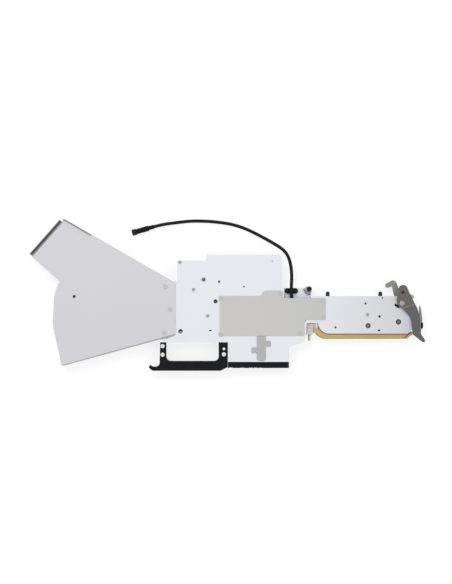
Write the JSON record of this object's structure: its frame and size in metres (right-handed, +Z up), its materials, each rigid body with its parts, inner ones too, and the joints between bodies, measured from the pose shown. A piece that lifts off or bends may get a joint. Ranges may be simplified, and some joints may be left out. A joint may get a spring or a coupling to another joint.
{
  "type": "smt tape feeder",
  "caption": "Tape feeder for a pick-and-place machine, with a tape chute, sprocket drive, clamp lever, grip and connector lead.",
  "frame": {"origin": "on the sprocket's axis, at the flat side that the feeder lies on", "axes": "+X along the nose to the pick-up end, +Y to the edge with the locating pins, +Z up from the side it lies on"},
  "size_m": [0.5952, 0.2282, 0.0294],
  "materials": {
    "bare_aluminium": "milled, lightly anodised",
    "black_plastic": "fine moulded grain",
    "black_rubber": "matt",
    "black_screw": "black oxide",
    "block_grey": "moulded",
    "board_green": "solder mask",
    "brass": "turned",
    "cable_jacket": "matt jacket",
    "chip_black": "moulded",
    "chute_grey": "satin grey paint on folded sheet",
    "cover_grey": "satin grey paint",
    "cream_plastic": "moulded",
    "dark_steel": "black oxide, slightly worn",
    "gear_brass": "hobbed",
    "gear_plastic": "moulded acetal",
    "guide_brown": "dark bronzed steel",
    "guide_olive": "spring steel strip with an olive cast",
    "hook_steel": "satin steel",
    "key_plastic": "moulded",
    "lever_steel": "dark satin steel",
    "motor_case": "dark coated case",
    "plate_back": "satin white paint on sheet aluminium",
    "ribbon": "flat ribbon",
    "ribbon_cover": "satin grey paint",
    "screw_steel": "machined, fine turning marks",
    "shaft_steel": "ground",
    "spring_steel": "drawn wire",
    "white_paint": "satin white paint on sheet aluminium",
    "white_screw": "white coated head",
    "yellow_guide": "yellow chromate on steel"
  },
  "bodies": {
    "frame": {"back_plate": "plate_back", "front_plate": "white_paint", "spacer_posts": "bare_aluminium", "post_screws": "screw_steel", "electronics_cover": "cover_grey", "cover_screws": "screw_steel", "key_cable_cover": "ribbon_cover", "key_cable": "ribbon", "circuit_board": "board_green", "board_chips": "chip_black", "board_standoffs": "brass", "cable_shelf": "bare_aluminium", "cable_clamp": "black_plastic", "clamp_screws": "black_screw", "cable_gland": "black_rubber", "cable": "cable_jacket", "plug_body": "black_plastic", "plug_collar": "dark_steel", "chute_tray": "chute_grey", "chute_face": "chute_grey", "chute_screws": "screw_steel", "grip": "black_plastic", "grip_screws": "white_screw", "key_rail": "black_plastic", "rail_cap": "key_plastic", "tape_track": "bare_aluminium", "guide_rail": "guide_brown", "tape_guide": "yellow_guide", "guide_strip": "guide_olive", "guide_block": "block_grey", "guide_boss": "cream_plastic", "guide_peg": "cream_plastic", "locator_bar": "bare_aluminium", "locating_pins": "dark_steel", "roller_pin": "shaft_steel", "notch_liner": "spring_steel", "shaft_bushes": "dark_steel", "dowel_pins": "shaft_steel", "motor": "motor_case", "lever_pivot": "screw_steel", "return_spring": "spring_steel", "lever_stop": "black_rubber"},
    "sprocket": {"sprocket": "shaft_steel", "sprocket_shaft": "shaft_steel", "sprocket_gear": "gear_brass"},
    "idler": {"idler_gear": "gear_plastic"},
    "drive": {"drive_gear": "gear_brass", "drive_shaft": "shaft_steel"},
    "reduction": {"reduction_gear": "gear_plastic"},
    "rotor": {"motor_pinion": "gear_brass"},
    "roller": {"guide_roller": "dark_steel"},
    "lever": {"release_lever": "lever_steel", "clamp_hook": "hook_steel", "lever_rivets": "screw_steel", "thumb_plate": "hook_steel", "thumb_pad": "black_rubber"},
    "key_1": {"key_1": "key_plastic"},
    "key_2": {"key_2": "key_plastic"},
    "key_3": {"key_3": "key_plastic"},
    "key_4": {"key_4": "key_plastic"}
  },
  "joints": [
    {"name": "sprocket_spin", "type": "hinge", "parent": "frame", "child": "sprocket", "pos_m": [0, 0, 0.012], "axis": [0, 0, 1], "continuous": true},
    {"name": "idler_spin", "type": "hinge", "parent": "frame", "child": "idler", "pos_m": [-0.02845, 0.00818, 0.012], "axis": [0, 0, 1], "continuous": true},
    {"name": "drive_spin", "type": "hinge", "parent": "frame", "child": "drive", "pos_m": [-0.0456, -0.0056, 0.012], "axis": [0, 0, 1], "continuous": true},
    {"name": "reduction_spin", "type": "hinge", "parent": "frame", "child": "reduction", "pos_m": [-0.05985, 0.00075, 0.012], "axis": [0, 0, 1], "continuous": true},
    {"name": "motor_spin", "type": "hinge", "parent": "frame", "child": "rotor", "pos_m": [-0.07707, 0.0044, 0.012], "axis": [0, 0, 1], "continuous": true},
    {"name": "roller_spin", "type": "hinge", "parent": "frame", "child": "roller", "pos_m": [-0.1334, 0.0495, 0.012], "axis": [0, 0, 1], "continuous": true},
    {"name": "lever_swing", "type": "hinge", "parent": "frame", "child": "lever", "pos_m": [0.0048, 0.028, 0.012], "axis": [0, 0, 1], "range_deg": [-10, 0], "stiffness_Nm_per_rad": 0.5, "springref_deg": 5.73},
    {"name": "key_1_press", "type": "slide", "parent": "frame", "child": "key_1", "axis": [0, 1, 0], "range_m": [0, 0.0006], "stiffness_N_per_m": 400},
    {"name": "key_2_press", "type": "slide", "parent": "frame", "child": "key_2", "axis": [0, 1, 0], "range_m": [0, 0.0006], "stiffness_N_per_m": 400},
    {"name": "key_3_press", "type": "slide", "parent": "frame", "child": "key_3", "axis": [0, 1, 0], "range_m": [0, 0.0006], "stiffness_N_per_m": 400},
    {"name": "key_4_press", "type": "slide", "parent": "frame", "child": "key_4", "axis": [0, 1, 0], "range_m": [0, 0.0006], "stiffness_N_per_m": 400}
  ],
  "couplings": [
    {"joint": "idler_spin", "follows": "sprocket_spin", "ratio": -1.1765},
    {"joint": "drive_spin", "follows": "sprocket_spin", "ratio": 1.9048},
    {"joint": "reduction_spin", "follows": "sprocket_spin", "ratio": -2.2222},
    {"joint": "motor_spin", "follows": "sprocket_spin", "ratio": 4.7619}
  ]
}
